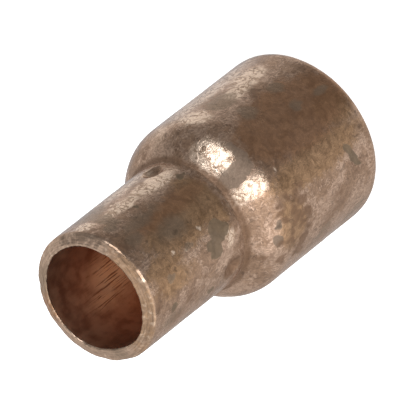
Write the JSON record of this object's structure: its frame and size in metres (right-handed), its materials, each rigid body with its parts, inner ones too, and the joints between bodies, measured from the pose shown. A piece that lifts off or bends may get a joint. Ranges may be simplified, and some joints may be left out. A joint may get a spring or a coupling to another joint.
{
  "type": "concentric reducer",
  "caption": "Seamless copper tube reducer: a small solder cup with punched tube stops, a sloped round shoulder, and a larger spigot with a rounded nose.",
  "frame": {"origin": "centre of the spigot's end face, on the tube axis", "axes": "+Z along the tube axis, from the spigot end towards the mouth of the solder cup; the part stands on its spigot end"},
  "size_m": [0.016, 0.016, 0.0297],
  "materials": {
    "weathered_copper": "tumbled copper, semi-matt, with brown and grey oxide patches and a darker drawn bore"
  },
  "bodies": {
    "root": {"reducer_body": "weathered_copper"}
  },
  "joints": []
}
